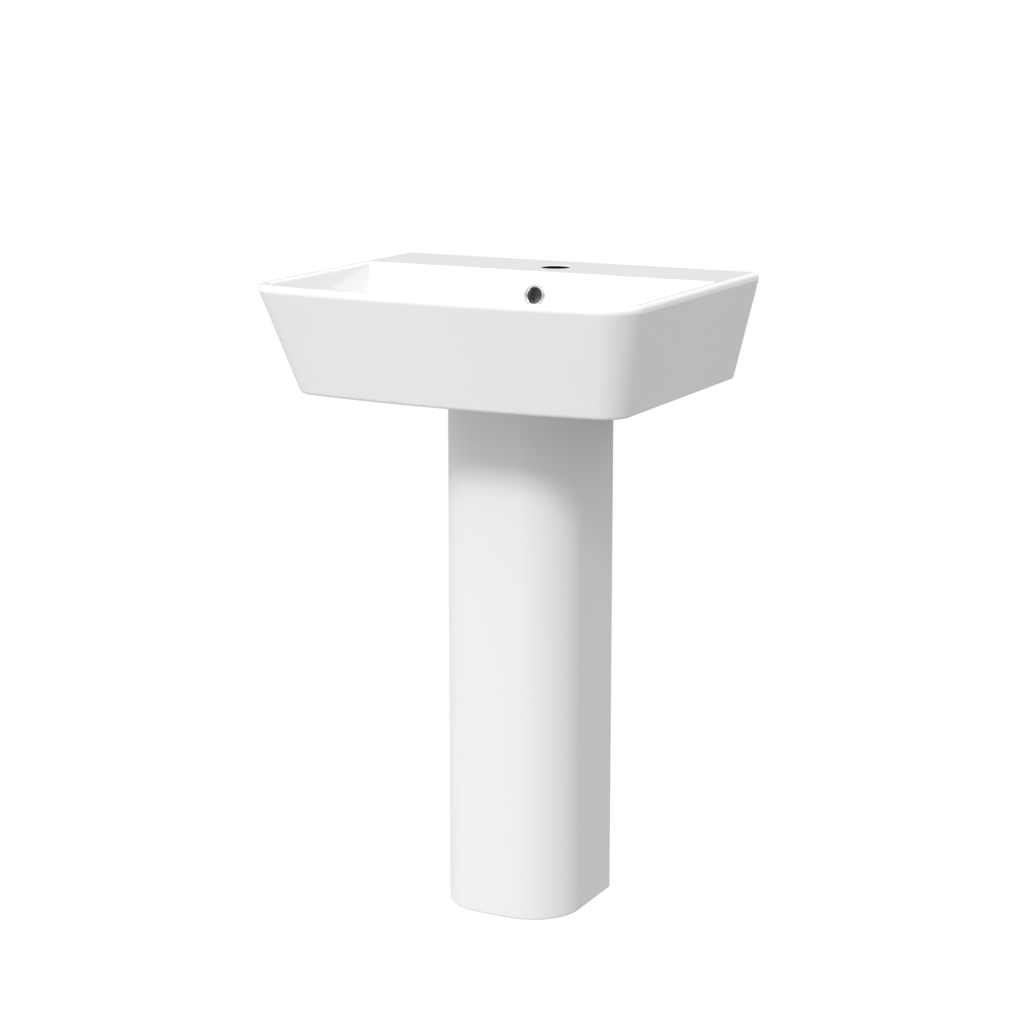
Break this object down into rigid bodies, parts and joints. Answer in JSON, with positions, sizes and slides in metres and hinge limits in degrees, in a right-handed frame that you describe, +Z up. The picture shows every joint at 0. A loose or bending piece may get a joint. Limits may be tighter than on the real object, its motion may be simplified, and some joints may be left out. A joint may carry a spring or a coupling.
{
  "type": "pedestal sink",
  "caption": "Square glazed ceramic basin with flared walls and a rear tap deck on a full-height D-section pedestal, with pop-up waste, bottle trap and wall fixings.",
  "frame": {"origin": "on the floor, at the middle of the whole assembly's footprint box", "axes": "+Z up, +X to the right of a person facing the sink, -Y towards that person, +Y into the wall"},
  "size_m": [0.5156, 0.4829, 0.83],
  "materials": {
    "ceramic": "gloss white glaze",
    "rubber": "matt black rubber",
    "nylon": "natural nylon",
    "chrome": "polished chrome plate",
    "plastic": "white polypropylene",
    "steel": "zinc-plated steel"
  },
  "bodies": {
    "sink": {"basin": "ceramic", "pedestal": "ceramic", "seating_pads": "rubber", "foot_bushes": "nylon", "overflow_ring": "chrome", "waste_body": "chrome", "flange_washer": "rubber", "cone_washer": "rubber", "backnut": "chrome", "click_cartridge": "plastic", "plug_spring": "steel", "inlet_washer": "rubber", "inlet_nut": "plastic", "dip_tube": "plastic", "top_seal": "rubber", "top_nut": "plastic", "trap_head": "plastic", "outlet_seal": "rubber", "outlet_nut": "plastic", "outlet_pipe": "plastic", "pipe_flange": "chrome", "wall_bolts": "steel", "wall_plugs": "nylon", "bolt_bushes": "nylon", "bolt_washers": "steel", "bolt_nuts": "steel"},
    "plug": {"plug_rod": "steel", "plug_cap": "chrome", "plug_seal": "rubber"},
    "bottle_carrier": {"bottle_ring": "rubber"},
    "bottle": {"trap_bottle": "plastic"}
  },
  "joints": [
    {"name": "plug_press", "type": "slide", "parent": "sink", "child": "plug", "axis": [0, 0, 1], "range_m": [-0.008, 0], "stiffness_N_per_m": 300, "springref_m": 0.008, "deforming": ["plug_spring"]},
    {"name": "bottle_lower", "type": "slide", "parent": "sink", "child": "bottle_carrier", "axis": [0, 0, 1], "range_m": [-0.012, 0]},
    {"name": "bottle_turn", "type": "hinge", "parent": "bottle_carrier", "child": "bottle", "pos_m": [0, -0.007, 0.5], "axis": [0, 0, 1], "range_deg": [-1080, 0]}
  ],
  "couplings": [
    {"joint": "bottle_lower", "follows": "bottle_turn", "m_per_rad": 0.00063662}
  ]
}
